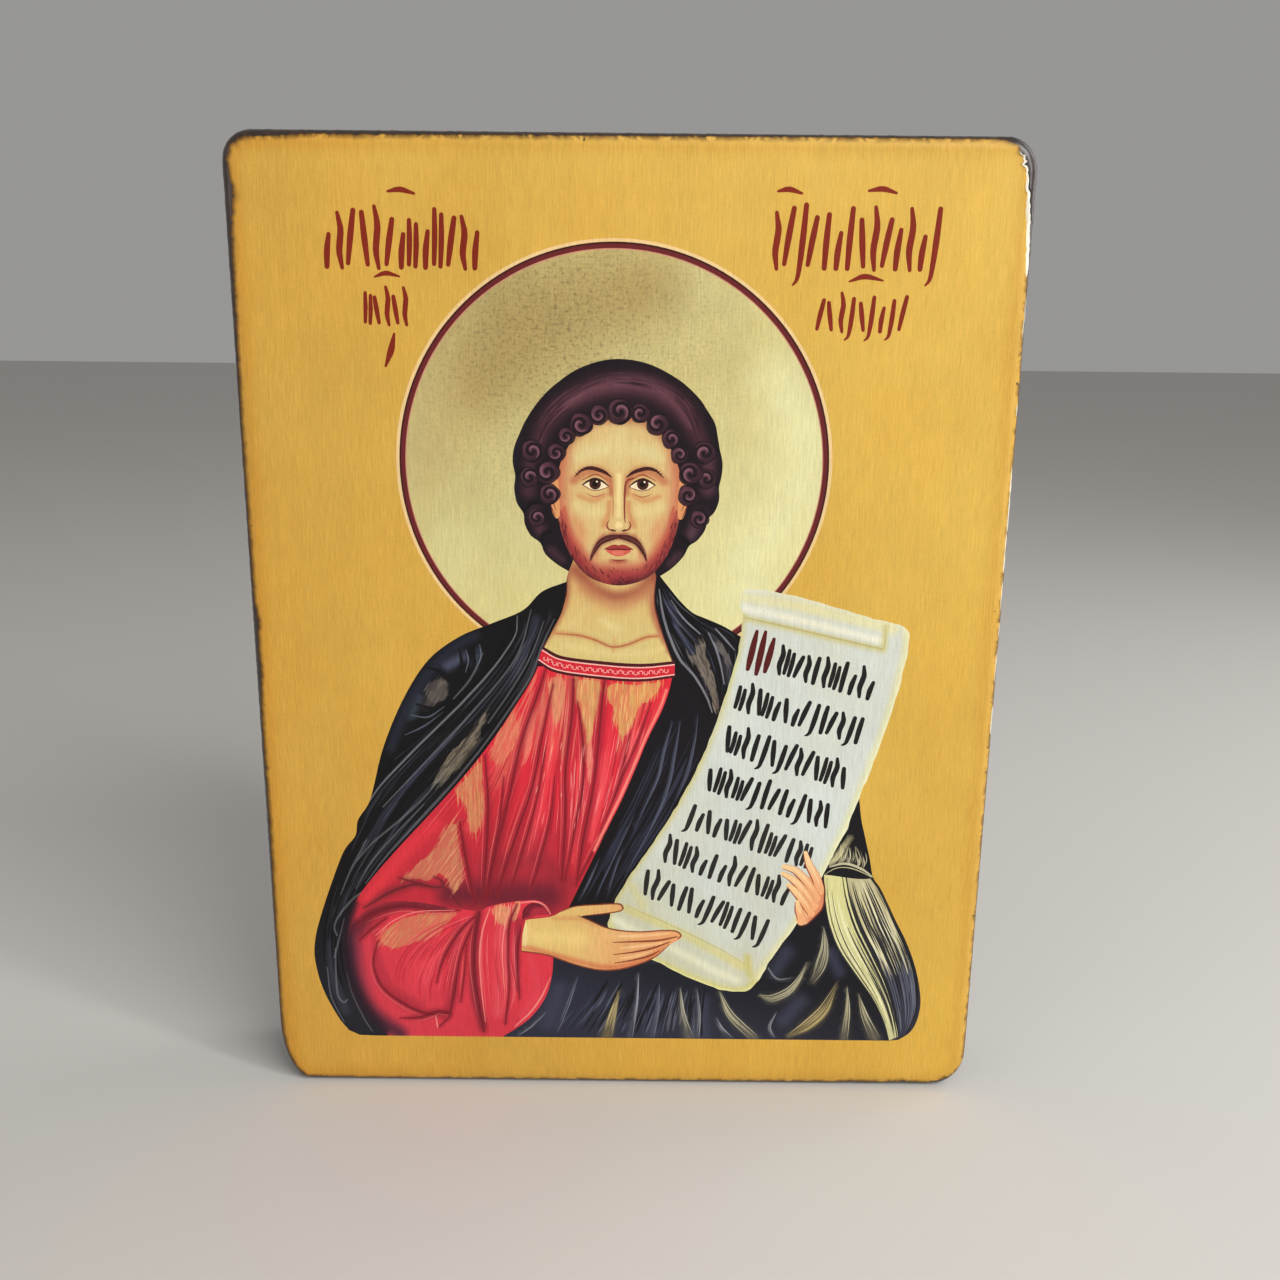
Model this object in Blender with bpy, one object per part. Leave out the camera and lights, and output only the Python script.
"""An icon panel: one wooden board with a picture on its front, standing on its lower edge.

Metres, +Z up. The picture faces -Y, and the origin is in the middle of the underside.
"""

import math

import bmesh
import bpy

# The board
BOARD_WIDTH = 0.130
BOARD_HEIGHT = 0.170
BOARD_THICKNESS = 0.020

# Its corners, seen from the front: how far the curve reaches across and up.
# The lower left one, as seen from the front, is worn away in a long slant.
TOP_LEFT_CORNER = (0.0050, 0.0050)
TOP_RIGHT_CORNER = (0.0050, 0.0056)
BOTTOM_RIGHT_CORNER = (0.0060, 0.0070)
WORN_BOTTOM_LEFT_CORNER = (0.0052, 0.0120)
CORNER_STEPS = 10

# Its long edges: the front ones are rubbed round, the back ones are only broken
FRONT_ROUNDING = 0.0020
FRONT_ROUNDING_STEPS = 5
BACK_ROUNDING = 0.0008
BACK_ROUNDING_STEPS = 2


def clear_scene():
    for obj in list(bpy.data.objects):
        bpy.data.objects.remove(obj, do_unlink=True)


def painted_wood():
    """Ochre paint under a satin varnish."""
    material = bpy.data.materials.new("painted_wood")
    material.use_nodes = True
    shader = material.node_tree.nodes["Principled BSDF"]
    shader.inputs["Base Color"].default_value = (0.64, 0.38, 0.08, 1.0)
    shader.inputs["Roughness"].default_value = 0.38
    shader.inputs["Metallic"].default_value = 0.0
    return material


def corner_arc(side, top, reach):
    """Points of one corner, a quarter of an ellipse, from its upright end to its level end."""
    across, up = reach
    centre_x = side * (BOARD_WIDTH / 2 - across)
    centre_z = BOARD_HEIGHT - up if top else up
    upward = 1 if top else -1
    points = []
    for step in range(CORNER_STEPS + 1):
        angle = math.pi / 2 * step / CORNER_STEPS
        x = centre_x + side * across * math.cos(angle)
        z = centre_z + upward * up * math.sin(angle)
        points.append((x, z))
    return points


def board_outline():
    """The board seen from the front, counterclockwise from the right side's lower end."""
    return (
        corner_arc(1, True, TOP_RIGHT_CORNER)
        + corner_arc(-1, True, TOP_LEFT_CORNER)[::-1]
        + corner_arc(-1, False, WORN_BOTTOM_LEFT_CORNER)
        + corner_arc(1, False, BOTTOM_RIGHT_CORNER)[::-1]
    )


def round_over(mesh, face_y, width, steps):
    """Rounds the edges of the flat face that lies at face_y."""
    edges = [
        edge
        for edge in mesh.edges
        if all(math.isclose(vert.co.y, face_y, abs_tol=1e-6) for vert in edge.verts)
    ]
    bmesh.ops.bevel(
        mesh,
        geom=edges,
        offset=width,
        offset_type="OFFSET",
        segments=steps,
        profile=0.5,
        affect="EDGES",
        clamp_overlap=True,
    )


def icon_board(material):
    """The whole board: the outline drawn through its thickness, with its edges rounded."""
    front_y = -BOARD_THICKNESS / 2
    back_y = BOARD_THICKNESS / 2
    mesh = bmesh.new()
    front = mesh.faces.new([mesh.verts.new((x, front_y, z)) for x, z in board_outline()])
    drawn = bmesh.ops.extrude_face_region(mesh, geom=[front], use_keep_orig=True)
    back_verts = [item for item in drawn["geom"] if isinstance(item, bmesh.types.BMVert)]
    bmesh.ops.translate(mesh, verts=back_verts, vec=(0, back_y - front_y, 0))
    bmesh.ops.recalc_face_normals(mesh, faces=mesh.faces)
    round_over(mesh, front_y, FRONT_ROUNDING, FRONT_ROUNDING_STEPS)
    round_over(mesh, back_y, BACK_ROUNDING, BACK_ROUNDING_STEPS)
    bmesh.ops.recalc_face_normals(mesh, faces=mesh.faces)

    data = bpy.data.meshes.new("icon_board")
    mesh.to_mesh(data)
    mesh.free()
    data.materials.append(material)
    data.shade_smooth()
    data.set_sharp_from_angle(angle=math.radians(40))
    board = bpy.data.objects.new("icon_board", data)
    bpy.context.scene.collection.objects.link(board)
    return board


def main():
    clear_scene()
    icon_board(painted_wood())


main()
